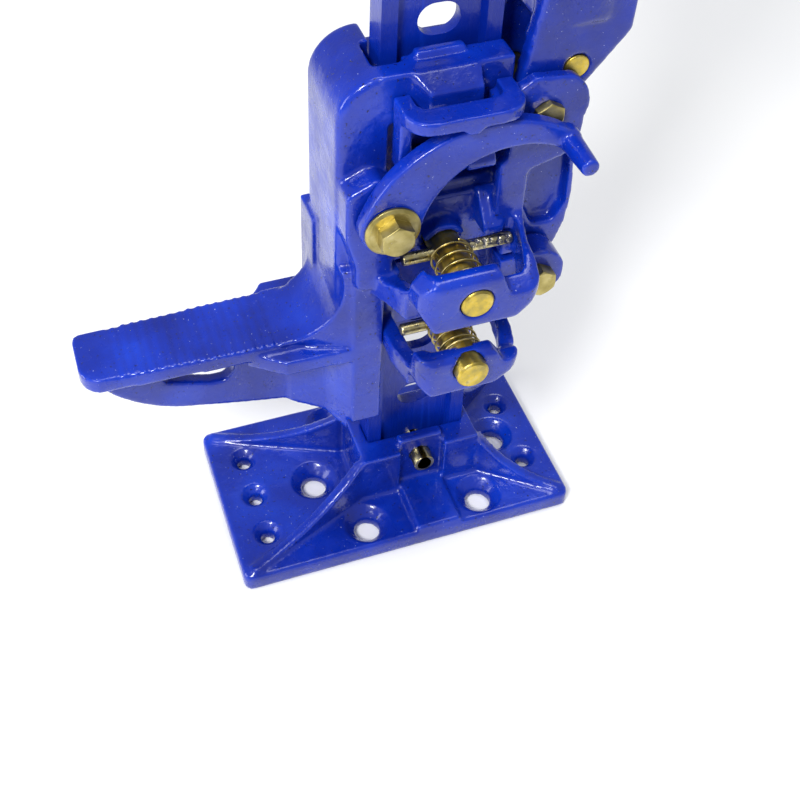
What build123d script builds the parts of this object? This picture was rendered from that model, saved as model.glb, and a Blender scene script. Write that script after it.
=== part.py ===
from build123d import *
import math
import os

# Farm jack with a toe, in millimetres.  Origin: on the floor under the bar's axis.
# +Z is up, the toe points to -X, the handle is on +X and the climbing pins face -Y.

# ---- rack bar -------------------------------------------------------------
BAR_HALF_WIDTH = 28.0
BAR_HALF_DEPTH = 7.3
BAR_FLANGE = 7.5
BAR_WEB = 6.0
BAR_FOOT_Z = 12.0
BAR_TOP_Z = 838.0
HOLE_PITCH = 22.0
HOLE_WIDTH = 20.0
HOLE_HEIGHT = 16.0
FIRST_HOLE_Z = 70.8
HOLE_COUNT = 33
RUN_GAP = 0.4

# ---- base -----------------------------------------------------------------
BASE_LEFT, BASE_RIGHT = -112.0, 79.5
BASE_HALF_DEPTH = 52.6
BASE_THICK = 11.0
SOCKET_LEFT, SOCKET_RIGHT = -35.0, 33.0
SOCKET_HALF_DEPTH = 21.0
SOCKET_TOP = 43.0
PANEL_TOP = 48.0
PANEL_HALF_WIDTH = 13.0
PANEL_FRONT = -16.5
PAD_TOP = 14.0
LARGE_HOLES = ((-38.0, -37.4), (29.0, -37.4), (-38.0, 37.4), (29.0, 37.4), (-58.0, 0.0), (53.0, 0.0))
LARGE_HOLE_RADIUS = 6.9
LARGE_SINK_RADIUS = 12.8
SMALL_HOLES = ((-92.6, -26.6), (-92.6, 0.0), (-92.6, 26.6), (64.0, -21.0), (64.0, 21.0))
SMALL_HOLE_RADIUS = 3.8
SMALL_SINK_RADIUS = 7.9
RIB_THICK = 6.0
ROLL_PIN_Z = 33.0
ROLL_PIN_RADIUS = 5.8
ROLL_PIN_BORE = 3.8
ROLL_PIN_GAP = 3.0
ROLL_PIN_FRONT = -24.0

# ---- climbing pins --------------------------------------------------------
PIN_RADIUS = 7.95
PIN_LENGTH = 66.0
PIN_FIT = 0.08
UPPER_PIN_Z = FIRST_HOLE_Z + 6 * HOLE_PITCH
LOWER_PIN_Z = UPPER_PIN_Z - 2 * HOLE_PITCH
UPPER_PIN_END = -69.5
LOWER_PIN_END = -72.5
PIN_CHAMFER = 1.0
CROSS_PIN_BACK = 38.2
CROSS_PIN_RADIUS = 3.0
CROSS_PIN_LEFT, CROSS_PIN_RIGHT = -23.0, 32.2
LOW_CROSS_PIN_RIGHT = 24.0
SPRING_WIRE = 1.1
SPRING_RADIUS = 9.9
SPRING_TURNS = 4

# ---- large runner ---------------------------------------------------------
RUNNER_LEFT = -52.0
UPPER_FRONT = -22.0
STRIP_LEFT = -45.5
STRIP_TOP = 196.0
RUNNER_FRONT = -30.0
RUNNER_BACK = 24.0
RUNNER_BOTTOM = 92.0
RUNNER_TOP = 301.0
RIGHT_WALL_X = 38.0
FRONT_PLATE_BACK = -23.5
GUIDE_BOTTOM = 190.0
GUIDE_TOP = 225.0
GUIDE_FRONT = -18.0
CROSSBAR_BOTTOM = 276.0
CROSSBAR_RIGHT = 29.0
TOP_GAP_LEFT, TOP_GAP_RIGHT = -33.0, -19.5
TOP_GAP_FRONT = -11.5
TOP_GAP_BOTTOM = 288.0
LOWER_WALL_X = -34.4
LOWER_BACK_Y = 13.0
COLLAR_TOP = 119.0
LIP_RIGHT = -30.0
NOSE_HALF_WIDTH = 15.5
NOSE_FRONT = -31.0
NOSE_BACK = -12.0
TOE_TIP = -176.0
TOE_TOP = 152.0
TOE_PLATE = 9.0
TOE_HALF_WEB = 4.0
TOOTH_PITCH = 4.8
TOOTH_DEPTH = 1.2
TOOTH_COUNT = 17
FIRST_TOOTH_X = -158.0
SHELF_TOP = 147.5
YOKE_FRONT = -69.2
YOKE_WALL = 9.5
YOKE_BOTTOM = 190.5
PIN_BOSS_RADIUS = 11.2
PIN_BOSS_FRONT = -27.0
CROSS_SLOT_BACK = -19.2
CROSS_SLOT_HALF = 4.0
CROSS_SLOT_RIGHT = 33.1

# ---- reversing switch and latch -------------------------------------------
SWITCH_X, SWITCH_Z = -32.7, 233.9
SWITCH_FRONT = -42.4
SWITCH_BACK = -34.4
SWITCH_BOSS = 14.5
NUB_X, NUB_Z = 50.2, 263.5
NUB_END = -62.5
NUB_BASE_RADIUS = 5.4
NUB_END_RADIUS = 4.2
LATCH_HALF_WIDTH = 27.6
LATCH_FRONT = -47.0
LATCH_BAR_BACK = -36.0
LATCH_TOP = 291.2
LATCH_BOTTOM = 284.5
LATCH_LEG_INNER = 21.5
LATCH_LEG_BACK = -23.0
LATCH_LEG_LOW = 256.5
LATCH_CAM_LEFT, LATCH_CAM_RIGHT = 6.0, 19.6
LATCH_CAM_TOP = 262.0
BUMP_Z = 281.8

# ---- handle and linkage ---------------------------------------------------
PIVOT_X, PIVOT_Z = 43.2, 272.0
BOLT_RADIUS = 6.0
BOLT_FIT = 0.1
FIXED_FIT = 0.03
EAR_BACK_FRONT = 19.0
EAR_BACK_BACK = 26.0
CHEEK_FRONT = -22.6
CHEEK_THICK = 8.2
CHEEK_BACK = 18.2
CRANK_RADIUS = 22.90
CRANK_ANGLE = 46.2
KNUCKLE_RADIUS = 13.2
CRANK_X = PIVOT_X + CRANK_RADIUS * math.cos(math.radians(CRANK_ANGLE))
CRANK_Z = PIVOT_Z + CRANK_RADIUS * math.sin(math.radians(CRANK_ANGLE))
SOCKET_X, SOCKET_Y = 62.0, -2.0
SOCKET_OUTER = 23.0
SOCKET_BOTTOM_Z = 312.0
SOCKET_TOP_Z = 408.0
TUBE_RADIUS = 17.0
TUBE_WALL = 2.8
TUBE_BOTTOM_Z = 330.0
TUBE_TOP_Z = 800.0
HANDLE_BOLT_Z = 380.0
LUG_X, LUG_Z = 50.0, 171.0
LUG_RADIUS = 15.0
LUG_FRONT = -30.0
LUG_FRONT_BACK = -14.2
LUG_BACK_FRONT = 10.2
LUG_BACK_BACK = 20.0
PITMAN_FRONT = -13.6
PITMAN_BACK = 9.6
PITMAN_EYE = 12.0
PITMAN_POCKET = 6.5
SLOT_HALF = 1.6
SLOT_SHIFT = 1.44
SLOT_LIFT = 0.62
SLOT_ROOM = 0.85

# ---- small runner ---------------------------------------------------------
SMALL_TOP = 187.0
SMALL_BOTTOM = 145.0
SMALL_LEFT = -33.8
SMALL_RIGHT = 35.5
SMALL_FRONT = -17.0
SMALL_BACK = 12.4
LOW_YOKE_FRONT = -67.5
LOW_YOKE_WALL = 9.0
LOW_YOKE_BOTTOM = 146.0

# ---- top clamp ------------------------------------------------------------
CLAMP_BOTTOM = 792.0
CLAMP_HALF_WIDTH = 33.0
CLAMP_HALF_DEPTH = 16.0
CLAMP_BOLT_Z = FIRST_HOLE_Z + 34 * HOLE_PITCH

# ---- bolts ----------------------------------------------------------------
HEX_FLATS = 15.0
LUG_FLATS = 14.0
SHEAR_FLATS = 13.0
HEX_HEIGHT = 7.0
FLANGE_RADIUS = 13.0
FLANGE_THICK = 2.2
NUT_HEIGHT = 9.0


def box(x0, x1, y0, y1, z0, z1):
    """A block between two opposite corners."""
    place = Pos((x0 + x1) / 2, (y0 + y1) / 2, (z0 + z1) / 2)
    return place * Box(x1 - x0, y1 - y0, z1 - z0)


def slab_xz(face, y_front, y_back):
    """Extrude a face drawn in X and Z from y_front to y_back."""
    plane = Plane(origin=(0, y_back, 0), x_dir=(1, 0, 0), z_dir=(0, -1, 0))
    return extrude(plane * face, y_back - y_front, dir=(0, -1, 0))


def slab_yz(face, x_left, x_right):
    """Extrude a face drawn in Y and Z from x_left to x_right."""
    plane = Plane(origin=(x_left, 0, 0), x_dir=(0, 1, 0), z_dir=(1, 0, 0))
    return extrude(plane * face, x_right - x_left, dir=(1, 0, 0))


def slab_xy(face, z_low, z_high):
    """Extrude a face drawn in X and Y from z_low to z_high."""
    return extrude(Plane.XY.offset(z_low) * face, z_high - z_low, dir=(0, 0, 1))


def disc(x, z, radius):
    """A flat disc, placed in the two drawing axes."""
    return Pos(x, z) * Circle(radius)


def rod_y(x, z, radius, y_front, y_back):
    """A round rod along Y."""
    return slab_xz(disc(x, z, radius), y_front, y_back)


def rod_x(y, z, radius, x_left, x_right):
    """A round rod along X."""
    return slab_yz(disc(y, z, radius), x_left, x_right)


def shape(points, radius=0.0):
    """A polygon facing forward, with all its corners rounded by one radius."""
    pairs = zip(points, points[1:] + points[:1])
    turn = sum(a[0] * b[1] - a[1] * b[0] for a, b in pairs)
    face = Polygon(*(points if turn > 0 else points[::-1]), align=None)
    if radius:
        face = fillet(face.vertices(), radius)
    return face


def rounded_rect(u0, u1, v0, v1, radius):
    """A rectangle with rounded corners."""
    return Pos((u0 + u1) / 2, (v0 + v1) / 2) * RectangleRounded(u1 - u0, v1 - v0, radius)


def oblong(u, v, half, radius):
    """A slot with round ends, lying along the first drawing axis."""
    return Pos(u, v) * SlotCenterToCenter(2 * half, 2 * radius)


# ---------------------------------------------------------------- base
def countersink(x, y, radius, sink_radius):
    """A drilled hole with a 45 degree seat at the plate's top."""
    depth = sink_radius - radius
    drill = Pos(x, y, BASE_THICK / 2) * Cylinder(radius, BASE_THICK + 2)
    seat = Pos(x, y, BASE_THICK - depth / 2) * Cone(radius, sink_radius, depth)
    return drill + seat


def base_rib(corner, foot):
    """A web from a plate corner up to the socket, with a hollow top edge."""
    run = math.hypot(foot[0] - corner[0], foot[1] - corner[1])
    along = ((foot[0] - corner[0]) / run, (foot[1] - corner[1]) / run, 0)
    across = (along[1], -along[0], 0)
    low, high = BASE_THICK + 2.0, SOCKET_TOP - 1.0
    top = ThreePointArc((0, low), (0.62 * run, low + 0.33 * (high - low)), (run, high))
    lines = [top, Line((run, high), (run, 5)), Line((run, 5), (0, 5)), Line((0, 5), (0, low))]
    face = make_face(Curve() + lines)
    plane = Plane(origin=(corner[0], corner[1], 0), x_dir=along, z_dir=across)
    return extrude(plane * face, RIB_THICK / 2, both=True)


def make_base_plate():
    """The cast foot: plate, four ribs, bar socket, front pad and screw holes."""
    outline = rounded_rect(BASE_LEFT, BASE_RIGHT, -BASE_HALF_DEPTH, BASE_HALF_DEPTH, 5)
    plate = slab_xy(outline, 0, BASE_THICK)
    plate = chamfer(plate.edges().group_by(Axis.Z)[-1], 1.2)
    socket = box(SOCKET_LEFT, SOCKET_RIGHT, -SOCKET_HALF_DEPTH, SOCKET_HALF_DEPTH, 5, SOCKET_TOP)
    recess = box(-PANEL_HALF_WIDTH, PANEL_HALF_WIDTH, -SOCKET_HALF_DEPTH - 1, PANEL_FRONT, PAD_TOP, 60)
    panel = box(-PANEL_HALF_WIDTH, PANEL_HALF_WIDTH, PANEL_FRONT, PANEL_FRONT + 6, 5, PANEL_TOP)
    pad = box(-PANEL_HALF_WIDTH, PANEL_HALF_WIDTH, -BASE_HALF_DEPTH + 1, -15, 5, PAD_TOP)
    body = plate + (socket - recess) + panel + pad
    for end, side in ((BASE_LEFT, SOCKET_LEFT), (BASE_RIGHT, SOCKET_RIGHT)):
        inset = 4.5 if end < 0 else -4.5
        for sign in (-1, 1):
            corner = (end + inset, sign * (BASE_HALF_DEPTH - 4.5))
            body += base_rib(corner, (side - inset / 4, sign * (SOCKET_HALF_DEPTH - 3)))
    body -= box(-BAR_HALF_WIDTH, BAR_HALF_WIDTH, -BAR_HALF_DEPTH, BAR_HALF_DEPTH, BAR_FOOT_Z, 60)
    for x, y in LARGE_HOLES:
        body -= countersink(x, y, LARGE_HOLE_RADIUS, LARGE_SINK_RADIUS)
    for x, y in SMALL_HOLES:
        body -= countersink(x, y, SMALL_HOLE_RADIUS, SMALL_SINK_RADIUS)
    return body - rod_y(0, ROLL_PIN_Z, ROLL_PIN_RADIUS, -60, 60)


def make_base_roll_pin():
    """The slotted spring pin that holds the bar in the foot."""
    ring = disc(0, ROLL_PIN_Z, ROLL_PIN_RADIUS) - disc(0, ROLL_PIN_Z, ROLL_PIN_BORE)
    ring -= Pos(0, ROLL_PIN_Z + ROLL_PIN_RADIUS) * Rectangle(ROLL_PIN_GAP, 2 * ROLL_PIN_RADIUS)
    return slab_xz(ring, ROLL_PIN_FRONT, SOCKET_HALF_DEPTH)


# ---------------------------------------------------------------- bar
def bar_section():
    """The rolled section: two flanges and a web with sloped roots."""
    half, depth, web = BAR_HALF_WIDTH, BAR_HALF_DEPTH, BAR_WEB / 2
    inner, root = half - BAR_FLANGE, half - BAR_FLANGE - 1.5
    corner = ((half, -depth), (half, depth), (inner, depth), (root, web))
    points = list(corner)
    points += [(-x, y) for x, y in reversed(corner) if y > 0]
    points += [(-half, -depth), (-inner, -depth), (-root, -web), (root, -web), (inner, -depth)]
    return Polygon(*points, align=None)


def make_rack_bar():
    """The upright bar with its row of oblong climbing holes."""
    bar = slab_xy(bar_section(), BAR_FOOT_Z, BAR_TOP_Z)
    half = (HOLE_WIDTH - HOLE_HEIGHT) / 2
    cuts = [
        slab_xz(oblong(0, FIRST_HOLE_Z + i * HOLE_PITCH, half, HOLE_HEIGHT / 2), -9, 9)
        for i in range(HOLE_COUNT)
    ]
    cuts.append(rod_y(0, ROLL_PIN_Z, ROLL_PIN_RADIUS, -9, 9))
    cuts.append(rod_y(0, CLAMP_BOLT_Z, BOLT_RADIUS, -9, 9))
    return bar - cuts


# ---------------------------------------------------------------- large runner
def runner_body():
    """Left column, back wall, right guide wall and the crossbar over the window."""
    gap = BAR_HALF_DEPTH + RUN_GAP
    column = shape((
        (RUNNER_LEFT, RUNNER_BOTTOM), (-BAR_HALF_WIDTH - RUN_GAP, RUNNER_BOTTOM),
        (-BAR_HALF_WIDTH - RUN_GAP, RUNNER_TOP), (RUNNER_LEFT, RUNNER_TOP)))
    column = fillet(column.vertices().sort_by(lambda v: v.X - v.Y)[0], 22)
    left = slab_xz(column, UPPER_FRONT, RUNNER_BACK)
    left = fillet(left.edges().filter_by(Axis.Z).group_by(Axis.X)[0], 3)
    strip_plan = Polygon(
        (RUNNER_LEFT, UPPER_FRONT + 6), (STRIP_LEFT, RUNNER_FRONT), (-BAR_HALF_WIDTH - RUN_GAP, RUNNER_FRONT),
        (-BAR_HALF_WIDTH - RUN_GAP, UPPER_FRONT + 6), align=None)
    strip = slab_xy(strip_plan, RUNNER_BOTTOM, STRIP_TOP)
    back_face = shape((
        (-40, 128), (22, 128), (22, 192), (RIGHT_WALL_X, 198), (RIGHT_WALL_X, 250), (29, 256), (29, 292),
        (-40, 292)), 3)
    back = slab_xz(back_face, gap, RUNNER_BACK)
    right = box(BAR_HALF_WIDTH + RUN_GAP, RIGHT_WALL_X, RUNNER_FRONT, RUNNER_BACK, GUIDE_BOTTOM, 252)
    guide = box(-32, RIGHT_WALL_X, GUIDE_FRONT, -gap, GUIDE_BOTTOM, GUIDE_TOP)
    cross = box(-32, CROSSBAR_RIGHT, UPPER_FRONT, -gap, CROSSBAR_BOTTOM, RUNNER_TOP)
    return left + strip + back + right + guide + cross


def lower_relief():
    """Room for the small runner beside and behind the bar."""
    low, high = COLLAR_TOP, GUIDE_BOTTOM
    side = box(LOWER_WALL_X, 60, FRONT_PLATE_BACK, LOWER_BACK_Y, low, high)
    front = box(LIP_RIGHT, 60, -60, FRONT_PLATE_BACK, 80, high)
    return side + front


def front_plate():
    """The right half of the front plate, with the handle ear and its hollow lower edge."""
    ear = [
        Line((23.2, 214), (23.2, 246)),
        Line((23.2, 246), (27, 249.5)),
        Line((27, 249.5), (27, 277)),
        Line((27, 277), (28.4, 277)),
        Line((28.4, 277), (28.4, 287)),
        Line((28.4, 287), (36, 292)),
        Line((36, 292), (54, 290)),
        ThreePointArc((54, 290), (62.5, 281), (62.5, 266)),
        ThreePointArc((62.5, 266), (61, 254), (55.3, 245.7)),
        Line((55.3, 245.7), (43.2, 242)),
        ThreePointArc((43.2, 242), (36.5, 238), (34.5, 231)),
        Line((34.5, 231), (34.5, 214)),
        Line((34.5, 214), (23.2, 214)),
    ]
    plate = slab_xz(make_face(Curve() + ear), RUNNER_FRONT, FRONT_PLATE_BACK)
    back_ear = shape(((22, 240), (50, 250), (61, 262), (61, 280), (52, 288), (22, 288)), 6)
    tie = box(22, 28.6, RUNNER_FRONT, -BAR_HALF_DEPTH - RUN_GAP, 262, CROSSBAR_BOTTOM + 1)
    return plate + slab_xz(back_ear, EAR_BACK_FRONT, EAR_BACK_BACK) + tie


def switch_ear():
    """The lug on the left that the reversing switch turns on."""
    face = shape(((-51, 224), (-46, 205), (-46, 190), (-24, 190), (-24, 246), (-36, 256), (-51, 249)), 5)
    return slab_xz(face, SWITCH_BACK + 0.4, UPPER_FRONT + 4)


def nose_block():
    """The tapered block on the crossbar that the latch hoop slides around."""
    plan = Polygon((-19, NOSE_BACK), (-19, UPPER_FRONT), (-13.2, NOSE_FRONT), (11.6, NOSE_FRONT),
                   (12.5, UPPER_FRONT), (12.5, NOSE_BACK), align=None)
    side = shape(((NOSE_BACK, 280), (NOSE_FRONT, 280), (NOSE_FRONT, 294.6),
        (UPPER_FRONT, RUNNER_TOP), (NOSE_BACK, RUNNER_TOP)))
    block = slab_xy(plan, 279, 303) & slab_yz(side, -20, 20)
    lip = box(-14, 9.5, -13, -BAR_HALF_DEPTH - RUN_GAP, RUNNER_TOP - 1, RUNNER_TOP + 3)
    return block + lip


def toe():
    """The serrated toe plate on its web, with the shelves at its root."""
    outline = [
        Line((-46, 20.5), (-46, -20.5)),
        Line((-46, -20.5), (-95, -19.5)),
        Line((-95, -19.5), (TOE_TIP + 9, -17)),
        ThreePointArc((TOE_TIP + 9, -17), (TOE_TIP + 2.5, -13), (TOE_TIP, -4)),
        Line((TOE_TIP, -4), (TOE_TIP, 13)),
        ThreePointArc((TOE_TIP, 13), (TOE_TIP + 1.5, 16), (TOE_TIP + 5, 17)),
        Line((TOE_TIP + 5, 17), (-95, 19.5)),
        Line((-95, 19.5), (-46, 20.5)),
    ]
    plate = slab_xy(make_face(Curve() + outline), TOE_TOP - TOE_PLATE, TOE_TOP)
    shelf = shape(((-44, -30), (-79, -29), (-96, -17), (-88, 17), (-77, 30), (-44, 30)))
    shelf = slab_xy(shelf, SHELF_TOP - 9, SHELF_TOP)
    web_lines = [
        Line((-40, TOE_TOP - 4), (TOE_TIP + 3, TOE_TOP - 4)),
        Line((TOE_TIP + 3, TOE_TOP - 4), (TOE_TIP + 5, 138)),
        ThreePointArc((TOE_TIP + 5, 138), (-148, 113.5), (-119.4, 102.3)),
        ThreePointArc((-119.4, 102.3), (-86, 94.6), (-56, 89)),
        Line((-56, 89), (-48, 84)),
        Line((-48, 84), (-40, 84)),
        Line((-40, 84), (-40, TOE_TOP - 4)),
    ]
    web = slab_xz(make_face(Curve() + web_lines), -TOE_HALF_WEB, TOE_HALF_WEB)
    root_plan = Polygon((-47, -27), (-55, -15), (-72, -6), (-72, 6), (-55, 15), (-47, 26), align=None)
    root = slab_xz(make_face(Curve() + web_lines), -30, 30) & slab_xy(root_plan, 80, TOE_TOP)
    sweep_face = make_face(Curve() + [
        ThreePointArc((-51, 198), (-56, 166), (-74, TOE_TOP - 0.5)),
        Line((-74, TOE_TOP - 0.5), (-46, TOE_TOP - 8)),
        Line((-46, TOE_TOP - 8), (-46, 198)),
        Line((-46, 198), (-51, 198)),
    ])
    sweep_plan = Polygon((-78, -18), (-46, -28), (-46, 20), (-78, 16), align=None)
    flare = slab_xz(sweep_face, -30, 30) & slab_xy(sweep_plan, 140, 210)
    slot_face = shape(((-139, 136), (-135.5, 125), (-112, 117.4), (-105, 117), (-100, 123),
        (-100, 135), (-105, 138)), 3)
    slot = slab_xz(slot_face, -30, 30)
    body = plate + shelf + web + root + flare - slot
    for i in range(TOOTH_COUNT):
        x = FIRST_TOOTH_X + i * TOOTH_PITCH
        groove = shape(((x - 2, TOE_TOP + 0.5), (x + 2, TOE_TOP + 0.5), (x + 0.6, TOE_TOP - TOOTH_DEPTH)))
        body -= slab_xz(groove, -26, 26)
    return body + box(-54, -40, 10, 31, 132, 201)


def wall_crown(front, back, low, high):
    """The side view of a yoke wall, its top edge rounded and falling to the back."""
    side = Polygon((front, low), (front, high), (back, high - 4), (back, low), align=None)
    side = fillet(side.vertices().group_by(Axis.Y)[-1], 5)
    return slab_yz(side, -50, 50)


def upper_yoke():
    """The cage in front of the upper pin: a U in plan, low on the left and high on the right."""
    low, front, back = YOKE_BOTTOM, YOKE_FRONT, YOKE_FRONT + YOKE_WALL
    outer = Polygon((-39, -28), (-27.3, -58), (-27.3, front), (32.5, front), (33.6, -46), (38, -28),
        align=None)
    outer = fillet(outer.vertices().group_by(Axis.Y)[0], 9)
    inner = Polygon((-28.6, -27), (-20.5, -52), (-20.5, back), (26, back), (32.6, -37), (32.8, -27),
        align=None)
    inner = fillet(inner.vertices().group_by(Axis.Y)[0], 4)
    outline = Polygon((-40, 250), (-28, low + 12), (-20, low - 2), (20, low - 2.4), (34, low + 11),
        (40, 250), align=None)
    outline = fillet(outline.vertices().group_by(Axis.Y)[0], 4)
    cage = slab_xy(outer - inner, 180, 245) & (slab_xz(outline, -80, -54) + box(-60, 60, -54, 0, 180, 245))
    wall_face = Polygon((-30, low - 4), (-27.4, low + 20), (-19.5, low + 30), (10.2, low + 30),
        (17, low + 13), (18, low - 4), align=None)
    wall_face = fillet(wall_face.vertices().group_by(Axis.Y)[-1], 6)
    wall = cage & slab_xz(wall_face, front - 1, back + 6) & wall_crown(front, back + 7, low - 6, low + 30)
    left_side = shape((
        (FRONT_PLATE_BACK, 184), (FRONT_PLATE_BACK, 198), (-37, 198), (-50, 203), (-60, 210),
            (front - 1, 210),
        (front - 1, low - 4), (-44, low - 4)))
    left = cage & slab_yz(left_side, -50, -19)
    right_side = shape((
        (FRONT_PLATE_BACK, 218), (RUNNER_FRONT, 217), (-36, 214), (-53, 212), (-62, 208), (front - 1, 204),
        (front - 1, low - 4), (-45, low - 4), (FRONT_PLATE_BACK, 199)))
    right = cage & slab_yz(right_side, 17, 40)
    return wall + left + right


def window_details():
    """Inside the window: the ledge over the guide, the pin's boss and the ramp beside it."""
    gap = -BAR_HALF_DEPTH - RUN_GAP
    ledge = box(-32, 27, -14, gap, GUIDE_TOP - 1, GUIDE_TOP + 5)
    boss = rod_y(0, UPPER_PIN_Z, PIN_BOSS_RADIUS, PIN_BOSS_FRONT, GUIDE_FRONT + 1)
    ramp_side = shape(((-17, 227), (-20, 226), (-32, 212), (-32, 207.4), (-17, 207.4)))
    return ledge + boss + slab_yz(ramp_side, 17.5, 27.5)


def make_large_runner():
    """The main casting that climbs the bar and carries the toe."""
    body = runner_body() - lower_relief()
    body = body + front_plate() + switch_ear() + nose_block() + toe() + upper_yoke() + window_details()
    depth = BAR_HALF_DEPTH + RUN_GAP
    width = BAR_HALF_WIDTH + RUN_GAP
    body -= box(-width, width, -depth, depth, 60, 320)
    body -= rod_y(0, UPPER_PIN_Z, PIN_RADIUS + PIN_FIT, -90, 0)
    low, high = UPPER_PIN_Z - CROSS_SLOT_HALF, UPPER_PIN_Z + CROSS_SLOT_HALF
    body -= box(-BAR_HALF_WIDTH, CROSS_SLOT_RIGHT, -38, CROSS_SLOT_BACK, low, high)
    body -= box(TOP_GAP_LEFT, TOP_GAP_RIGHT, TOP_GAP_FRONT, BAR_HALF_DEPTH, TOP_GAP_BOTTOM, RUNNER_TOP + 2)
    body -= rod_y(SWITCH_X, SWITCH_Z, BOLT_RADIUS + FIXED_FIT, -60, -12)
    body -= rod_y(PIVOT_X, PIVOT_Z, BOLT_RADIUS + FIXED_FIT, -60, 60)
    return body


# ---------------------------------------------------------------- small runner
def low_yoke():
    """The cage in front of the lower pin: a U in plan, its wall higher than its arms."""
    low, front, back = LOW_YOKE_BOTTOM, LOW_YOKE_FRONT, LOW_YOKE_FRONT + LOW_YOKE_WALL
    outer = Polygon((-30, -16), (-29.6, -40), (-25, -58), (-25, front), (26, front), (32, -44),
        (35.5, -16), align=None)
    outer = fillet(outer.vertices().group_by(Axis.Y)[0], 8)
    inner = Polygon((-22, -15), (-20.5, -40), (-17.5, back), (19, back), (24.8, -44), (28.6, -15), align=None)
    inner = fillet(inner.vertices().group_by(Axis.Y)[0], 4)
    outline = Polygon((-31, 172), (-27, low + 6), (-19, low - 2.5), (14, low - 2.5), (24, low + 5),
        (37, 172), align=None)
    cage = slab_xy(outer - inner, 135, 175) & (slab_xz(outline, -80, -54) + box(-60, 60, -54, 0, 135, 175))
    wall_face = Polygon((-28, low - 4), (-24, low + 23), (11, low + 23), (18, low + 12),
        (20, low - 4), align=None)
    wall_face = fillet(wall_face.vertices().group_by(Axis.Y)[-1], 4)
    wall = cage & slab_xz(wall_face, front - 1, back + 4) & wall_crown(front, back + 5, low - 6, low + 23)
    arm_side = shape((
        (SMALL_FRONT + 1, LOWER_PIN_Z - 4.3), (-54, LOWER_PIN_Z - 4.3), (-60, 158), (front - 1, 158),
        (front - 1, low - 4), (-52, low - 4), (SMALL_FRONT + 1, low)))
    return wall + (cage & (slab_yz(arm_side, -35, -16.8) + slab_yz(arm_side, 17, 40)))


def make_small_runner():
    """The lower climber: a collar on the bar, the lower yoke and the link lug."""
    depth = BAR_HALF_DEPTH + RUN_GAP
    width = BAR_HALF_WIDTH + RUN_GAP
    body = box(SMALL_LEFT, SMALL_RIGHT, SMALL_FRONT, SMALL_BACK, SMALL_BOTTOM, SMALL_TOP)
    body -= box(-width, width, -depth, depth, 100, 220)
    body -= box(-14, 14, 0, 40, 100, 220)
    body += low_yoke()
    ear = Polygon((29, 157), (29, 186), (48, 186), (52, 157), align=None) + disc(LUG_X, LUG_Z, LUG_RADIUS)
    body += slab_xz(ear, LUG_FRONT, LUG_FRONT_BACK) + slab_xz(ear, LUG_BACK_FRONT, LUG_BACK_BACK)
    body -= rod_y(0, LOWER_PIN_Z, PIN_RADIUS + PIN_FIT, -90, 0)
    return body - rod_y(LUG_X, LUG_Z, BOLT_RADIUS, -60, 60)


# ---------------------------------------------------------------- climbing pins
def make_climbing_pin(end_y, z):
    """A hardened pin, chamfered at both ends, drilled for its cross pin."""
    pin = rod_y(0, z, PIN_RADIUS, end_y, end_y + PIN_LENGTH)
    pin = chamfer(pin.edges().group_by(Axis.Y)[0] + pin.edges().group_by(Axis.Y)[-1], PIN_CHAMFER)
    return pin - rod_x(end_y + CROSS_PIN_BACK, z, CROSS_PIN_RADIUS, -20, 20)


def make_cross_pin(end_y, z, right):
    """The cross pin that stops the climbing pin and seats its spring."""
    pin = rod_x(end_y + CROSS_PIN_BACK, z, CROSS_PIN_RADIUS, CROSS_PIN_LEFT, right)
    return chamfer(pin.edges().filter_by(GeomType.CIRCLE), 0.6)


def make_pin_spring(end_y, z, wall_back):
    """The coil between the yoke wall and the cross pin."""
    rear = end_y + CROSS_PIN_BACK - CROSS_PIN_RADIUS - SPRING_WIRE / 2
    front = wall_back + SPRING_WIRE / 2
    coil = Helix(pitch=(rear - front) / SPRING_TURNS, height=rear - front, radius=SPRING_RADIUS)
    start = Plane(origin=coil @ 0, z_dir=coil % 0)
    wire = sweep(start * Circle(SPRING_WIRE / 2), path=coil)
    return Pos(0, front, z) * Rot(-90, 0, 0) * wire


# ---------------------------------------------------------------- switch and latch
def make_reversing_switch():
    """The C-shaped lever with its boss and thumb nub."""
    lines = [
        ThreePointArc((-47, 236), (-14, 275.5), (50, 269.3)),
        ThreePointArc((50, 269.3), (56, 263.5), (50, 257.7)),
        ThreePointArc((50, 257.7), (4, 262), (-18.4, 230)),
        Line((-18.4, 230), (-47, 236)),
    ]
    face = make_face(Curve() + lines) + disc(SWITCH_X, SWITCH_Z, SWITCH_BOSS)
    arm = slab_xz(face, SWITCH_FRONT, SWITCH_BACK)
    arm = fillet(arm.edges().group_by(Axis.Y)[0], 1.0)
    length = SWITCH_FRONT - NUB_END + 3
    nub = Pos(NUB_X, NUB_END + length / 2, NUB_Z) * Rot(90, 0, 0) * Cone(NUB_BASE_RADIUS,
        NUB_END_RADIUS, length)
    return arm + nub - rod_y(SWITCH_X, SWITCH_Z, BOLT_RADIUS + BOLT_FIT, -60, 0)


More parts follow.
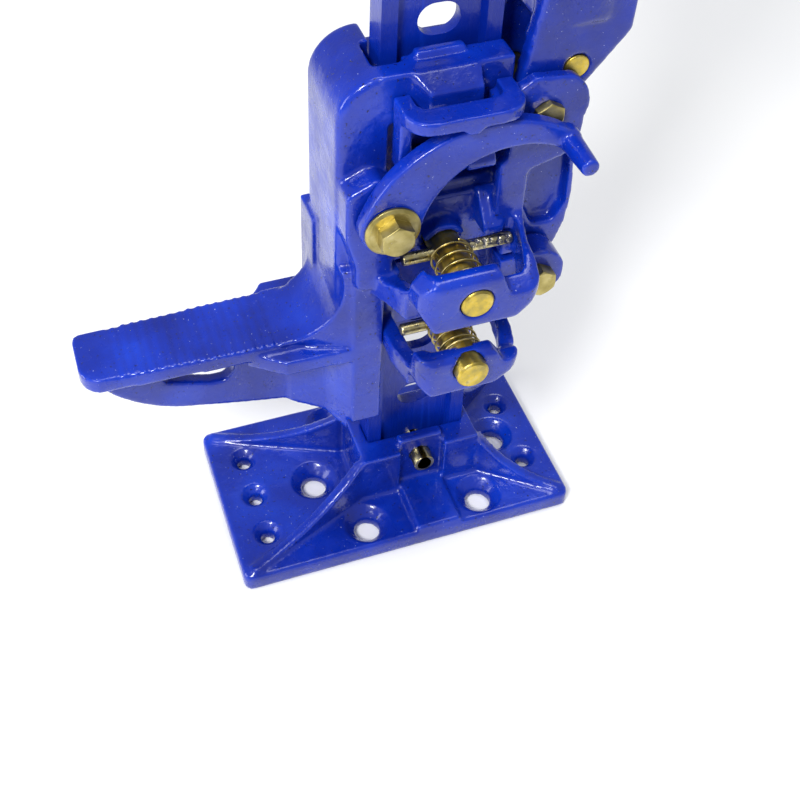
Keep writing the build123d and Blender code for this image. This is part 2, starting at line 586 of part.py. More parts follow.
def make_reversing_latch():
    """The hoop round the nose block, with its bump and two legs down to the pins."""
    half, inner = LATCH_HALF_WIDTH, LATCH_LEG_INNER
    outer = rounded_rect(-half, half, LATCH_FRONT, LATCH_LEG_BACK + 16, 12)
    hole = rounded_rect(-inner + 2, inner - 2, LATCH_BAR_BACK + 1, LATCH_LEG_BACK + 20, 5)
    hoop = slab_xy(outer - hole, LATCH_BOTTOM, LATCH_TOP)
    hoop -= box(-60, 60, LATCH_LEG_BACK, 20, 200, 320)
    bump_face = shape(((-5, LATCH_BOTTOM + 1), (7, LATCH_BOTTOM + 1), (3.6, BUMP_Z), (-1.6, BUMP_Z)))
    bump = slab_xz(bump_face, LATCH_FRONT, LATCH_BAR_BACK)
    front, back = SWITCH_BACK + 0.8, LATCH_LEG_BACK
    left = box(-half + 0.3, -inner, front, back, LATCH_LEG_LOW, LATCH_BOTTOM + 2)
    right = box(NOSE_HALF_WIDTH + 1, LATCH_CAM_RIGHT, front, back, LATCH_CAM_TOP - 3, LATCH_BOTTOM + 2)
    bridge = box(-half + 0.3, LATCH_CAM_RIGHT, front + 2, back - 3, LATCH_CAM_TOP - 4, LATCH_CAM_TOP)
    cam_side = shape((
        (front, LATCH_CAM_TOP - 8), (front, 251), (front + 3, 249), (back, 249), (back, LATCH_CAM_TOP),
        (front + 5, LATCH_CAM_TOP)))
    cam = slab_yz(cam_side, LATCH_CAM_LEFT, LATCH_CAM_RIGHT)
    return hoop + bump + left + right + bridge + cam


# ---------------------------------------------------------------- handle and link
def make_handle_socket():
    """Two cheeks on the pivot bolt, under the socket for the handle tube."""
    outline = make_face(Curve() + [
        Line((PIVOT_X - KNUCKLE_RADIUS, PIVOT_Z), (39, SOCKET_BOTTOM_Z + 14)),
        Line((39, SOCKET_BOTTOM_Z + 14), (85, SOCKET_BOTTOM_Z + 14)),
        Line((85, SOCKET_BOTTOM_Z + 14), (84, 303)),
        Line((84, 303), (PIVOT_X + 10.5, PIVOT_Z - 7.8)),
        Line((PIVOT_X + 10.5, PIVOT_Z - 7.8), (PIVOT_X - KNUCKLE_RADIUS, PIVOT_Z)),
    ])
    outline = outline + disc(PIVOT_X, PIVOT_Z, KNUCKLE_RADIUS)
    cheeks = slab_xz(outline, CHEEK_FRONT, CHEEK_FRONT + CHEEK_THICK)
    cheeks += slab_xz(outline, CHEEK_BACK - CHEEK_THICK, CHEEK_BACK)
    shoulder = box(39.5, 84.5, CHEEK_FRONT, CHEEK_BACK, SOCKET_BOTTOM_Z, SOCKET_BOTTOM_Z + 16)
    place = Pos(SOCKET_X, SOCKET_Y, (SOCKET_BOTTOM_Z + SOCKET_TOP_Z) / 2)
    barrel = place * Cylinder(SOCKET_OUTER, SOCKET_TOP_Z - SOCKET_BOTTOM_Z)
    barrel = chamfer(barrel.edges().group_by(Axis.Z)[-1], 2)
    body = cheeks + shoulder + barrel
    bore_top = SOCKET_TOP_Z + 5
    body -= Pos(SOCKET_X, SOCKET_Y, (TUBE_BOTTOM_Z + bore_top) / 2) * Cylinder(TUBE_RADIUS,
        bore_top - TUBE_BOTTOM_Z)
    body -= rod_y(PIVOT_X, PIVOT_Z, BOLT_RADIUS + BOLT_FIT, -60, 60)
    body -= rod_y(SOCKET_X, HANDLE_BOLT_Z, 4, -60, 60)
    return body - rod_y(CRANK_X, CRANK_Z, BOLT_RADIUS, -60, 60)


def make_handle_tube():
    """The long lever tube, bolted into its socket."""
    ring = Pos(SOCKET_X, SOCKET_Y) * (Circle(TUBE_RADIUS) - Circle(TUBE_RADIUS - TUBE_WALL))
    tube = slab_xy(ring, TUBE_BOTTOM_Z, TUBE_TOP_Z)
    return tube - rod_y(SOCKET_X, HANDLE_BOLT_Z, 4, -60, 60)


def make_tube_cap():
    """The plug in the top of the handle tube."""
    plug = Pos(SOCKET_X, SOCKET_Y, TUBE_TOP_Z - 8) * Cylinder(TUBE_RADIUS - TUBE_WALL, 16)
    head = Pos(SOCKET_X, SOCKET_Y, TUBE_TOP_Z + 2) * Cylinder(TUBE_RADIUS, 4)
    head = fillet(head.edges().group_by(Axis.Z)[-1], 2.5)
    return plug + head


def make_pitman():
    """The link from the handle socket down to the small runner."""
    low = disc(LUG_X, LUG_Z, 13)
    high = disc(CRANK_X, CRANK_Z, PITMAN_EYE)
    waist = shape((
        (LUG_X - 12, LUG_Z + 5), (43, 235), (51.5, 256), (51.5, 284), (CRANK_X, CRANK_Z + 6),
        (CRANK_X + 11.6, CRANK_Z), (69.5, 250), (71.6, 217), (72.6, 206), (70.8, 188), (66.9, 175.7),
        (60, 163)), 2)
    body = slab_xz(waist, PITMAN_FRONT, PITMAN_BACK)
    for eye in (low, high):
        body += slab_xz(eye, PITMAN_FRONT, PITMAN_BACK)
    pocket = shape(((46.5, 203), (52, 190.5), (63.5, 189.5), (69, 200), (68.6, 220), (66.5, 240),
        (50, 240)), 4)
    body -= slab_xz(pocket, PITMAN_FRONT - 1, PITMAN_FRONT + PITMAN_POCKET)
    body -= rod_y(LUG_X, LUG_Z, BOLT_RADIUS + BOLT_FIT, -60, 60)
    slot = oblong(CRANK_X + SLOT_SHIFT, CRANK_Z + SLOT_LIFT, SLOT_HALF, BOLT_RADIUS + SLOT_ROOM)
    return body - slab_xz(slot, -60, 60)


def make_crank_pin():
    """The plain pin through the socket's cheeks that drives the pitman."""
    pin = rod_y(CRANK_X, CRANK_Z, BOLT_RADIUS, CHEEK_FRONT, CHEEK_BACK)
    return chamfer(pin.edges().filter_by(GeomType.CIRCLE), 0.5)


# ---------------------------------------------------------------- bolts and nuts
def hexagon(x, z, flats):
    """A hexagon with two corners up and down."""
    return Pos(x, z) * RegularPolygon(flats / math.sqrt(3), 6, rotation=30)


def hex_head(x, z, flats, front, back):
    """A hexagon head with its front corners turned off."""
    corner = flats / math.sqrt(3)
    turned = rod_y(x, z, corner, front, back)
    turned = chamfer(turned.edges().group_by(Axis.Y)[0], 0.6, 1.3)
    return turned & slab_xz(hexagon(x, z, flats), front, back)


def make_flange_bolt(x, z, seat, end, flats=HEX_FLATS, radius=BOLT_RADIUS):
    """A flanged hex bolt along Y, its head in front of the seat."""
    flange = rod_y(x, z, FLANGE_RADIUS, seat - FLANGE_THICK, seat)
    flange = chamfer(flange.edges().group_by(Axis.Y)[0], 0.8, 1.6)
    head = hex_head(x, z, flats, seat - FLANGE_THICK - HEX_HEIGHT, seat - FLANGE_THICK + 0.9)
    return flange + head + rod_y(x, z, radius, seat, end)


def make_hex_bolt(x, z, seat, end, flats, head_height, radius):
    """A plain hex bolt along Y."""
    return hex_head(x, z, flats, seat - head_height, seat) + rod_y(x, z, radius, seat, end)


def make_nut(x, z, seat, flats, height, radius):
    """A hex nut along Y, behind its seat."""
    return slab_xz(hexagon(x, z, flats) - disc(x, z, radius), seat, seat + height)


# ---------------------------------------------------------------- top clamp
def make_top_clamp():
    """The cast clamp on top of the bar, open at the front for spreading loads."""
    block = box(-CLAMP_HALF_WIDTH, CLAMP_HALF_WIDTH, -CLAMP_HALF_DEPTH, CLAMP_HALF_DEPTH, CLAMP_BOTTOM, 850)
    block = fillet(block.edges().filter_by(Axis.Z), 5)
    block = fillet(block.edges().group_by(Axis.Z)[-1], 4)
    block -= box(-BAR_HALF_WIDTH, BAR_HALF_WIDTH, -BAR_HALF_DEPTH, BAR_HALF_DEPTH, 700, BAR_TOP_Z)
    return block - rod_y(0, CLAMP_BOLT_Z, BOLT_RADIUS, -60, 60)


def build():
    """Make every piece, by node name."""
    parts = {
        "base_plate": make_base_plate(),
        "rack_bar": make_rack_bar(),
        "base_roll_pin": make_base_roll_pin(),
        "top_clamp": make_top_clamp(),
        "top_clamp_bolt": make_hex_bolt(0, CLAMP_BOLT_Z, -CLAMP_HALF_DEPTH, 27, HEX_FLATS,
            HEX_HEIGHT, BOLT_RADIUS),
        "top_clamp_nut": make_nut(0, CLAMP_BOLT_Z, CLAMP_HALF_DEPTH, HEX_FLATS, NUT_HEIGHT, BOLT_RADIUS),
        "large_runner": make_large_runner(),
        "switch_pivot_bolt": make_flange_bolt(SWITCH_X, SWITCH_Z, SWITCH_FRONT - 0.4, -14),
        "handle_pivot_bolt": make_hex_bolt(PIVOT_X, PIVOT_Z, RUNNER_FRONT, 37, SHEAR_FLATS, 4.0, BOLT_RADIUS),
        "handle_pivot_nut": make_nut(PIVOT_X, PIVOT_Z, EAR_BACK_BACK, HEX_FLATS, NUT_HEIGHT, BOLT_RADIUS),
        "upper_climbing_pin": make_climbing_pin(UPPER_PIN_END, UPPER_PIN_Z),
        "upper_cross_pin": make_cross_pin(UPPER_PIN_END, UPPER_PIN_Z, CROSS_PIN_RIGHT),
        "upper_pin_spring": make_pin_spring(UPPER_PIN_END, UPPER_PIN_Z, YOKE_FRONT + YOKE_WALL),
        "lower_climbing_pin": make_climbing_pin(LOWER_PIN_END, LOWER_PIN_Z),
        "lower_cross_pin": make_cross_pin(LOWER_PIN_END, LOWER_PIN_Z, LOW_CROSS_PIN_RIGHT),
        "lower_pin_spring": make_pin_spring(LOWER_PIN_END, LOWER_PIN_Z, LOW_YOKE_FRONT + LOW_YOKE_WALL),
        "small_runner": make_small_runner(),
        "link_lug_bolt": make_hex_bolt(LUG_X, LUG_Z, LUG_FRONT, 31, LUG_FLATS, HEX_HEIGHT, BOLT_RADIUS),
        "link_lug_nut": make_nut(LUG_X, LUG_Z, LUG_BACK_BACK, HEX_FLATS, NUT_HEIGHT, BOLT_RADIUS),
        "pitman": make_pitman(),
        "handle_socket": make_handle_socket(),
        "crank_pin": make_crank_pin(),
        "handle_tube": make_handle_tube(),
        "handle_tube_cap": make_tube_cap(),
        "handle_tube_bolt": make_hex_bolt(SOCKET_X, HANDLE_BOLT_Z, SOCKET_Y - SOCKET_OUTER, 29, 13, 5.5, 4),
        "handle_tube_nut": make_nut(SOCKET_X, HANDLE_BOLT_Z, SOCKET_Y + SOCKET_OUTER, 13, 6.5, 4),
        "reversing_switch": make_reversing_switch(),
        "reversing_latch": make_reversing_latch(),
    }
    os.makedirs("parts", exist_ok=True)
    for name, solid in parts.items():
        export_step(solid, f"parts/{name}.step")


build()
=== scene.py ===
import bpy
import math
from mathutils import Matrix, Vector


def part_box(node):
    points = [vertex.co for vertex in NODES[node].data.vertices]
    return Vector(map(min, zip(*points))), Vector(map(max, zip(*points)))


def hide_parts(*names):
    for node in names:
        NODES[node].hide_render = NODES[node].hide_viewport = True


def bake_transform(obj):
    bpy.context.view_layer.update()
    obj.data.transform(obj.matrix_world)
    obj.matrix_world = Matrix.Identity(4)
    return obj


# Farm jack with a toe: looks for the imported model.  Metres, in the model's own frame.

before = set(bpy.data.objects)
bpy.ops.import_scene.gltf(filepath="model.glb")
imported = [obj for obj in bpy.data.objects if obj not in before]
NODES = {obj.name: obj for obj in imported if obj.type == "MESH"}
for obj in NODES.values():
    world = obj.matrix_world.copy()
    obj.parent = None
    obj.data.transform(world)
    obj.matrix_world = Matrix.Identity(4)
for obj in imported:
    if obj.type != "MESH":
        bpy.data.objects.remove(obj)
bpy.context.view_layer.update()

# ---- camera ---------------------------------------------------------------
AZIMUTH, ELEVATION, ROLL = (math.radians(angle) for angle in (18.913, 41.735, -1.024))
CAMERA_PLACE = (-0.1839, -0.4337, 0.6083)
LENS = 57.39
SENSOR = 36.0
SHIFT = (0.0559, -0.2147)
CLIP_START = 0.01

# ---- colours, linear ------------------------------------------------------
BLUE_DEEP = (0.001, 0.012, 0.210, 1)
BLUE = (0.0012, 0.021, 0.330, 1)
BLUE_BRIGHT = (0.002, 0.036, 0.460, 1)
BLUE_PIT = (0.001, 0.003, 0.070, 1)
DUST = (0.42, 0.46, 0.70, 1)
RUST = (0.16, 0.045, 0.018, 1)
ZINC_GOLD = (0.64, 0.47, 0.075, 1)
ZINC_OLIVE = (0.33, 0.27, 0.085, 1)
ZINC_PALE = (0.62, 0.55, 0.30, 1)
ZINC_DULL = (0.50, 0.42, 0.16, 1)
STEEL_GREY = (0.45, 0.43, 0.38, 1)
SPRING_GOLD = (0.55, 0.44, 0.17, 1)
PLASTIC = (0.018, 0.018, 0.020, 1)
PLASTIC_LIGHT = (0.040, 0.040, 0.044, 1)
FLOOR = (0.86, 0.86, 0.87, 1)
FLOOR_LIGHT = (0.90, 0.90, 0.90, 1)

# ---- noise scales per metre, and where a mark begins and is full -----------
CAST_CLOUD, CAST_GRAIN, CAST_RIPPLE, CAST_SPECK, CAST_SHEEN = 28, 620, 120, 1050, 75
PIT_RANGE = (0.66, 0.72)
SPECK_RANGE = (0.770, 0.80)
# Pointiness range over which convex edges get a painted highlight in BLUE_BRIGHT.
EDGE_HIGHLIGHT_RANGE = (0.515, 0.58)
# Pointiness range over which concave corners get painted shade in BLUE_DEEP.
CORNER_SHADE_RANGE = (0.485, 0.42)
RUST_PLACE = (0.0235, -0.0600, 0.1700)
RUST_REACH, RUST_FLAKE = 0.011, 900
RUST_RANGE = (0.22, 0.30)
BAR_CLOUD, BAR_GRAIN = 22, 700
BAR_STRETCH = (260, 260, 9)
STREAK_RANGE = (0.62, 0.80)
BAR_PIT_RANGE = (0.74, 0.80)
ZINC_CLOUD, ZINC_SPOT = 150, 1300
SCRATCH_RANGE = (0.58, 0.78)
SPOT_RANGE = (0.70, 0.76)
WORN_CLOUD, WORN_DENT, WORN_SHEEN = 160, 420, 300
WORN_SIDE = (0.004, 0.010)
DENT_RANGE = (0.48, 0.62)
PLASTIC_GRAIN, PLASTIC_CLOUD, FLOOR_CLOUD = 1500, 60, 3
NOISE_MIDDLE = (0.3, 0.7)

# ---- gloss and relief ------------------------------------------------------
PAINT_SPECULAR = 0.34
CAST_COAT = (0.42, 0.07)
BAR_COAT = (0.25, 0.06)
FLOOR_ROUGHNESS = 0.85
CAST_RELIEF = 0.00034
BAR_RELIEF = 0.00022
ZINC_RELIEF = 0.00009
WORN_RELIEF = 0.0004
PLASTIC_RELIEF = 0.00012

# ---- room ------------------------------------------------------------------
FLOOR_HALF = 4.0
ROOM_COLOUR = (0.95, 0.97, 1.0, 1)
ROOM_STRENGTH = 0.46
LIGHTS = (
    ("key", (-0.9, -0.9, 1.5), (0, 0, 0.18), 0.4, 30),
    ("top", (0.2, 0.1, 1.9), (0, 0, 0.2), 0.9, 16),
    ("side", (-1.5, 0.1, 0.5), (-0.03, 0, 0.2), 0.6, 8),
)

# ---- casting finish: voxel size and smoothing steps by node ----------------
CASTINGS = {
    "base_plate": (0.0011, 8),
    "large_runner": (0.0011, 8),
    "small_runner": (0.0010, 9),
    "reversing_switch": (0.0010, 5),
    "reversing_latch": (0.0010, 8),
    "handle_socket": (0.0012, 9),
    "pitman": (0.0011, 9),
    "top_clamp": (0.0013, 9),
}
EDGE_ROUNDING = 0.0004
BAR_ROUNDING = 0.0009
WELD_DISTANCE = 0.000002
SMOOTH_FACTOR = 0.5
BEVEL_STEPS = 2
SHARP_ANGLE = math.radians(28)
FLAT_ANGLE = math.radians(0.3)

# ---- springs --------------------------------------------------------------
COIL_RADIUS = 0.0099
WIRE_RADIUS = 0.00058
COIL_TURNS = 3.6
COIL_STEPS = 40
WIRE_SIDES = 10
END_TURNS = 0.8
CLOSE_PITCH = 2.1 * WIRE_RADIUS


class Graph:
    """A material's node tree with short calls for the nodes used here."""

    def __init__(self, name):
        self.material = bpy.data.materials.new(name)
        self.material.use_nodes = True
        self.tree = self.material.node_tree
        self.shader = self.tree.nodes["Principled BSDF"]
        self.coords = self.add("ShaderNodeTexCoord").outputs["Object"]

    def add(self, kind, **settings):
        node = self.tree.nodes.new(kind)
        for key, value in settings.items():
            setattr(node, key, value)
        return node

    def link(self, source, target):
        self.tree.links.new(source, target)

    def set(self, socket, value):
        """A value that is the same all over the surface."""
        self.shader.inputs[socket].default_value = value

    def colour(self, colour):
        self.link(colour, self.shader.inputs["Base Color"])

    def coat(self, weight, roughness):
        """The clear gloss over paint."""
        self.set("Specular IOR Level", PAINT_SPECULAR)
        self.set("Coat Weight", weight)
        self.set("Coat Roughness", roughness)

    def stretched(self, scale):
        """Object coordinates scaled by one factor for each axis."""
        mapping = self.add("ShaderNodeMapping")
        mapping.inputs["Scale"].default_value = scale
        self.link(self.coords, mapping.inputs["Vector"])
        return mapping.outputs["Vector"]

    def noise(self, scale, detail=2.0, coords=None):
        node = self.add("ShaderNodeTexNoise")
        node.inputs["Scale"].default_value = scale
        node.inputs["Detail"].default_value = detail
        self.link(coords or self.coords, node.inputs["Vector"])
        return node.outputs["Fac"]

    def ramp(self, factor, stops):
        """A colour ramp through (position, colour) stops."""
        node = self.add("ShaderNodeValToRGB")
        elements = node.color_ramp.elements
        while len(elements) < len(stops):
            elements.new(0.5)
        for element, (place, colour) in zip(elements, stops):
            element.position = place
            element.color = colour
        self.link(factor, node.inputs["Fac"])
        return node.outputs["Color"]

    def mask(self, factor, low, high):
        """0 below low, 1 above high."""
        node = self.add("ShaderNodeMapRange")
        node.inputs["From Min"].default_value = low
        node.inputs["From Max"].default_value = high
        self.link(factor, node.inputs["Value"])
        return node.outputs["Result"]

    def mix(self, factor, first, second):
        """Blend two colours, each a socket or a value."""
        node = self.add("ShaderNodeMix", data_type="RGBA")
        self.link(factor, node.inputs["Factor"])
        for socket, value in ((node.inputs[6], first), (node.inputs[7], second)):
            if isinstance(value, tuple):
                socket.default_value = value
            else:
                self.link(value, socket)
        return node.outputs[2]

    def math(self, operation, first, second):
        """A sum or product of sockets or numbers."""
        node = self.add("ShaderNodeMath", operation=operation)
        for socket, value in zip(node.inputs, (first, second)):
            if isinstance(value, (int, float)):
                socket.default_value = value
            else:
                self.link(value, socket)
        return node.outputs[0]

    def weighted(self, *terms):
        """The sum of (socket, weight) terms."""
        total = 0.0
        for socket, weight in terms:
            total = self.math("ADD", total, self.math("MULTIPLY", socket, weight))
        return total

    def roughness(self, factor, low, high):
        node = self.add("ShaderNodeMapRange")
        node.inputs["From Min"].default_value = NOISE_MIDDLE[0]
        node.inputs["From Max"].default_value = NOISE_MIDDLE[1]
        node.inputs["To Min"].default_value = low
        node.inputs["To Max"].default_value = high
        self.link(factor, node.inputs["Value"])
        self.link(node.outputs["Result"], self.shader.inputs["Roughness"])

    def bump(self, height, distance):
        node = self.add("ShaderNodeBump")
        node.inputs["Distance"].default_value = distance
        self.link(height, node.inputs["Height"])
        self.link(node.outputs["Normal"], self.shader.inputs["Normal"])

    def near(self, place, radius):
        """1 at a place, falling to 0 at the radius."""
        node = self.add("ShaderNodeVectorMath", operation="DISTANCE")
        node.inputs[1].default_value = place
        self.link(self.coords, node.inputs[0])
        return self.mask(node.outputs["Value"], radius, 0.0)


# ---------------------------------------------------------------- materials
def painted_casting(name, rust_at=None):
    """Thick glossy blue paint over sand-cast iron."""
    graph = Graph(name)
    cloud = graph.noise(CAST_CLOUD, 3)
    grain = graph.noise(CAST_GRAIN, 3)
    ripple = graph.noise(CAST_RIPPLE, 2)
    speck = graph.noise(CAST_SPECK, 1)
    colour = graph.ramp(cloud, ((0.30, BLUE_DEEP), (0.52, BLUE), (0.74, BLUE_BRIGHT)))
    edge = graph.add("ShaderNodeNewGeometry").outputs["Pointiness"]
    # Painted highlight: convex edges are made lighter, as if light caught them.
    colour = graph.mix(graph.mask(edge, *EDGE_HIGHLIGHT_RANGE), colour, BLUE_BRIGHT)
    # Painted shade: concave corners and creases are made darker.
    colour = graph.mix(graph.mask(edge, *CORNER_SHADE_RANGE), colour, BLUE_DEEP)
    pits = graph.mask(grain, *PIT_RANGE)
    colour = graph.mix(pits, colour, BLUE_PIT)
    colour = graph.mix(graph.mask(speck, *SPECK_RANGE), colour, DUST)
    height = graph.weighted((ripple, 2.2), (grain, 0.42), (pits, -0.5))
    if rust_at:
        flakes = graph.math("MULTIPLY", graph.near(rust_at, RUST_REACH), graph.noise(RUST_FLAKE, 4))
        patch = graph.mask(flakes, *RUST_RANGE)
        colour = graph.mix(patch, colour, RUST)
        height = graph.weighted((height, 1.0), (patch, 0.9))
    graph.colour(colour)
    graph.roughness(graph.noise(CAST_SHEEN, 3), 0.18, 0.38)
    graph.coat(*CAST_COAT)
    graph.bump(height, CAST_RELIEF)
    return graph.material


def painted_bar(name):
    """Blue paint on rolled steel, with faint streaks along the bar."""
    graph = Graph(name)
    streak = graph.noise(1, 3, graph.stretched(BAR_STRETCH))
    cloud = graph.noise(BAR_CLOUD, 3)
    grain = graph.noise(BAR_GRAIN, 2)
    colour = graph.ramp(cloud, ((0.30, BLUE_DEEP), (0.55, BLUE), (0.80, BLUE_BRIGHT)))
    colour = graph.mix(graph.mask(streak, *STREAK_RANGE), colour, BLUE_BRIGHT)
    colour = graph.mix(graph.mask(grain, *BAR_PIT_RANGE), colour, BLUE_PIT)
    graph.colour(colour)
    graph.roughness(streak, 0.18, 0.36)
    graph.coat(*BAR_COAT)
    graph.bump(graph.weighted((streak, 0.6), (grain, 0.5)), BAR_RELIEF)
    return graph.material


def plated(name, light, dark, stretch, low=0.24, high=0.46):
    """Passivated zinc or steel: cloudy colour, drawn scratches and small dull spots."""
    graph = Graph(name)
    cloud = graph.noise(ZINC_CLOUD, 4)
    scratch = graph.noise(1, 3, graph.stretched(stretch))
    spot = graph.noise(ZINC_SPOT, 2)
    colour = graph.ramp(cloud, ((0.32, dark), (0.60, light), (0.80, ZINC_PALE)))
    colour = graph.mix(graph.mask(scratch, *SCRATCH_RANGE), colour, dark)
    colour = graph.mix(graph.mask(spot, *SPOT_RANGE), colour, STEEL_GREY)
    graph.colour(colour)
    graph.set("Metallic", 1.0)
    graph.roughness(graph.weighted((scratch, 0.5), (cloud, 0.5)), low, high)
    graph.bump(graph.weighted((scratch, 1.0), (spot, 0.6)), ZINC_RELIEF)
    return graph.material


def worn_pin(name):
    """A plated cross pin with dents on its right half."""
    graph = Graph(name)
    cloud = graph.noise(WORN_CLOUD, 4)
    dent = graph.noise(WORN_DENT, 2)
    axis = graph.add("ShaderNodeSeparateXYZ")
    graph.link(graph.coords, axis.inputs[0])
    side = graph.mask(axis.outputs["X"], *WORN_SIDE)
    marks = graph.math("MULTIPLY", side, graph.mask(dent, *DENT_RANGE))
    colour = graph.ramp(cloud, ((0.30, ZINC_OLIVE), (0.58, ZINC_PALE), (0.80, ZINC_GOLD)))
    colour = graph.mix(marks, colour, STEEL_GREY)
    graph.colour(colour)
    graph.set("Metallic", 1.0)
    graph.roughness(graph.noise(WORN_SHEEN, 3), 0.22, 0.48)
    graph.bump(graph.weighted((marks, -1.0), (cloud, 0.1)), WORN_RELIEF)
    return graph.material


def moulded_plastic(name):
    """Black plastic with a fine spark-eroded grain."""
    graph = Graph(name)
    grain = graph.noise(PLASTIC_GRAIN, 2)
    colour = graph.ramp(graph.noise(PLASTIC_CLOUD, 3), ((0.35, PLASTIC), (0.75, PLASTIC_LIGHT)))
    graph.colour(colour)
    graph.roughness(grain, 0.42, 0.62)
    graph.bump(grain, PLASTIC_RELIEF)
    return graph.material


def pale_floor(name):
    graph = Graph(name)
    colour = graph.ramp(graph.noise(FLOOR_CLOUD, 2), ((0.35, FLOOR), (0.70, FLOOR_LIGHT)))
    graph.colour(colour)
    graph.set("Roughness", FLOOR_ROUGHNESS)
    return graph.material


# ---------------------------------------------------------------- shapes
def cast_surface(node, voxel, steps):
    """Rounds every edge and corner of a casting, as a sand mould does."""
    remesh = node.modifiers.new("cast_skin", "REMESH")
    remesh.mode = "VOXEL"
    remesh.voxel_size = voxel
    remesh.use_smooth_shade = True
    smooth = node.modifiers.new("cast_fillets", "SMOOTH")
    smooth.factor = SMOOTH_FACTOR
    smooth.iterations = steps


def machined_surface(node, rounding):
    """Breaks a machined or rolled piece's edges."""
    weld = node.modifiers.new("weld", "WELD")
    weld.merge_threshold = WELD_DISTANCE
    dissolve = node.modifiers.new("flat_faces", "DECIMATE")
    dissolve.decimate_type = "DISSOLVE"
    dissolve.angle_limit = FLAT_ANGLE
    bevel = node.modifiers.new("broken_edges", "BEVEL")
    bevel.width = rounding
    bevel.segments = BEVEL_STEPS
    bevel.limit_method = "ANGLE"
    bevel.angle_limit = SHARP_ANGLE
    bevel.harden_normals = True


def coil_point(part, front, rear, height):
    """The wire's centre at a fraction of its turns, with a close turn at each end."""
    turns = COIL_TURNS + 2 * END_TURNS
    turn = part * turns
    close = CLOSE_PITCH * END_TURNS
    if turn < END_TURNS:
        y = front + close * turn / END_TURNS
    elif turn > turns - END_TURNS:
        y = rear - close * (turns - turn) / END_TURNS
    else:
        y = front + close + (rear - front - 2 * close) * (turn - END_TURNS) / COIL_TURNS
    angle = 2 * math.pi * turn
    return Vector((COIL_RADIUS * math.cos(angle), y, height + COIL_RADIUS * math.sin(angle)))


def wire_ring(place, ahead, height):
    """One ring of points round the wire."""
    along = (ahead - place).normalized()
    out = Vector((place.x, 0, place.z - height)).normalized()
    across = along.cross(out).normalized()
    out = across.cross(along)
    angles = (2 * math.pi * side / WIRE_SIDES for side in range(WIRE_SIDES))
    return [place + WIRE_RADIUS * (math.cos(a) * out + math.sin(a) * across) for a in angles]


def make_coil(name, front, rear, height):
    """A compression spring along Y with closed ends."""
    count = int((COIL_TURNS + 2 * END_TURNS) * COIL_STEPS)
    points = []
    for step in range(count + 1):
        place = coil_point(step / count, front, rear, height)
        ahead = coil_point((step + 0.5) / count, front, rear, height)
        points += wire_ring(place, ahead, height)
    faces = []
    for step in range(count):
        for side in range(WIRE_SIDES):
            low, after = step * WIRE_SIDES, (side + 1) % WIRE_SIDES
            above = low + WIRE_SIDES
            faces.append((low + side, low + after, above + after, above + side))
    faces.append(tuple(range(WIRE_SIDES))[::-1])
    faces.append(tuple(count * WIRE_SIDES + side for side in range(WIRE_SIDES)))
    mesh = bpy.data.meshes.new(name)
    mesh.from_pydata(points, [], faces)
    for polygon in mesh.polygons:
        polygon.use_smooth = len(polygon.vertices) == 4
    coil = bpy.data.objects.new(name, mesh)
    bpy.context.scene.collection.objects.link(coil)
    return coil


def add_spring(name, cad_node, material):
    """A coil in the place of a CAD spring."""
    low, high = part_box(cad_node)
    front, rear = low.y + WIRE_RADIUS, high.y - WIRE_RADIUS
    height = (low.z + high.z) / 2
    coil = make_coil(name, front, rear, height)
    coil.data.materials.append(material)
    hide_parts(cad_node)
    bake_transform(coil)


# ---------------------------------------------------------------- stage
def make_camera():
    """The camera at its viewing angle."""
    forward = Vector((
        math.sin(AZIMUTH) * math.cos(ELEVATION),
        math.cos(AZIMUTH) * math.cos(ELEVATION),
        -math.sin(ELEVATION)))
    level = Vector((math.cos(AZIMUTH), -math.sin(AZIMUTH), 0))
    down = forward.cross(level)
    right = level * math.cos(ROLL) + down * math.sin(ROLL)
    low = down * math.cos(ROLL) - level * math.sin(ROLL)
    data = bpy.data.cameras.new("camera")
    data.lens = LENS
    data.sensor_width = SENSOR
    data.shift_x, data.shift_y = SHIFT
    data.clip_start = CLIP_START
    camera = bpy.data.objects.new("camera", data)
    turn = Matrix((right, -low, -forward)).transposed().to_4x4()
    camera.matrix_world = Matrix.Translation(CAMERA_PLACE) @ turn
    bpy.context.scene.collection.objects.link(camera)
    bpy.context.scene.camera = camera


def add_light(name, place, target, size, energy):
    """A soft square light aimed at a point."""
    data = bpy.data.lights.new(name, "AREA")
    data.size = size
    data.energy = energy
    light = bpy.data.objects.new(name, data)
    light.location = place
    aim = Vector(target) - Vector(place)
    light.rotation_euler = aim.to_track_quat("-Z", "Y").to_euler()
    bpy.context.scene.collection.objects.link(light)


def make_stage():
    """A pale floor, a white room and three soft lights."""
    half = FLOOR_HALF
    corners = [(-half, -half, 0), (half, -half, 0), (half, half, 0), (-half, half, 0)]
    mesh = bpy.data.meshes.new("floor")
    mesh.from_pydata(corners, [], [(0, 1, 2, 3)])
    floor = bpy.data.objects.new("floor", mesh)
    floor.data.materials.append(pale_floor("floor_paint"))
    bpy.context.scene.collection.objects.link(floor)
    world = bpy.data.worlds.new("room")
    world.use_nodes = True
    background = world.node_tree.nodes["Background"]
    background.inputs["Color"].default_value = ROOM_COLOUR
    background.inputs["Strength"].default_value = ROOM_STRENGTH
    bpy.context.scene.world = world
    bpy.context.scene.view_settings.view_transform = "Standard"
    for light in LIGHTS:
        add_light(*light)


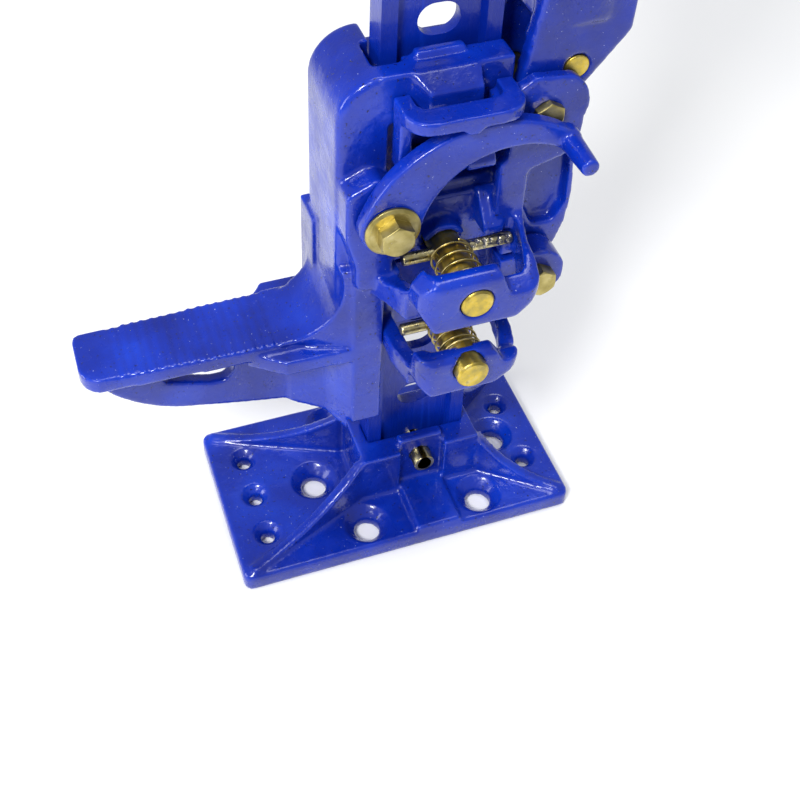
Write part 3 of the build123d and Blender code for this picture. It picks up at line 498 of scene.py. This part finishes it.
# ---------------------------------------------------------------- assembly
CAST_PAINT = painted_casting("casting_blue")
SMALL_RUNNER_PAINT = painted_casting("casting_blue_rusted", rust_at=RUST_PLACE)
BAR_PAINT = painted_bar("bar_blue")
ZINC_ALONG_Y = plated("zinc_turned", ZINC_GOLD, ZINC_OLIVE, (500, 40, 500))
ZINC_HEX = plated("zinc_forged", ZINC_DULL, ZINC_OLIVE, (260, 260, 260), 0.28, 0.5)
ZINC_ROLLED = plated("zinc_rolled", ZINC_PALE, ZINC_OLIVE, (300, 60, 300), 0.2, 0.4)
PIN_WORN = worn_pin("zinc_worn")
SPRING_WIRE = plated("spring_wire", SPRING_GOLD, ZINC_OLIVE, (500, 500, 500), 0.22, 0.4)
BLACK_PLASTIC = moulded_plastic("plug_plastic")

MACHINED = {
    "rack_bar": (BAR_PAINT, BAR_ROUNDING),
    "handle_tube": (BAR_PAINT, EDGE_ROUNDING),
    "handle_tube_cap": (BLACK_PLASTIC, EDGE_ROUNDING),
    "base_roll_pin": (ZINC_ROLLED, EDGE_ROUNDING),
    "upper_climbing_pin": (ZINC_ALONG_Y, EDGE_ROUNDING),
    "lower_climbing_pin": (ZINC_ALONG_Y, EDGE_ROUNDING),
    "upper_cross_pin": (PIN_WORN, EDGE_ROUNDING),
    "lower_cross_pin": (PIN_WORN, EDGE_ROUNDING),
    "crank_pin": (ZINC_ALONG_Y, EDGE_ROUNDING),
}


def dress_nodes():
    """Gives each carried CAD node its surface and material."""
    for name, node in NODES.items():
        node.data.materials.clear()
        if name in CASTINGS:
            cast_surface(node, *CASTINGS[name])
            node.data.materials.append(SMALL_RUNNER_PAINT if name == "small_runner" else CAST_PAINT)
        else:
            material, rounding = MACHINED.get(name, (ZINC_HEX, EDGE_ROUNDING))
            machined_surface(node, rounding)
            node.data.materials.append(material)


make_camera()
make_stage()
dress_nodes()
add_spring("upper_coil", "upper_pin_spring", SPRING_WIRE)
add_spring("lower_coil", "lower_pin_spring", SPRING_WIRE)
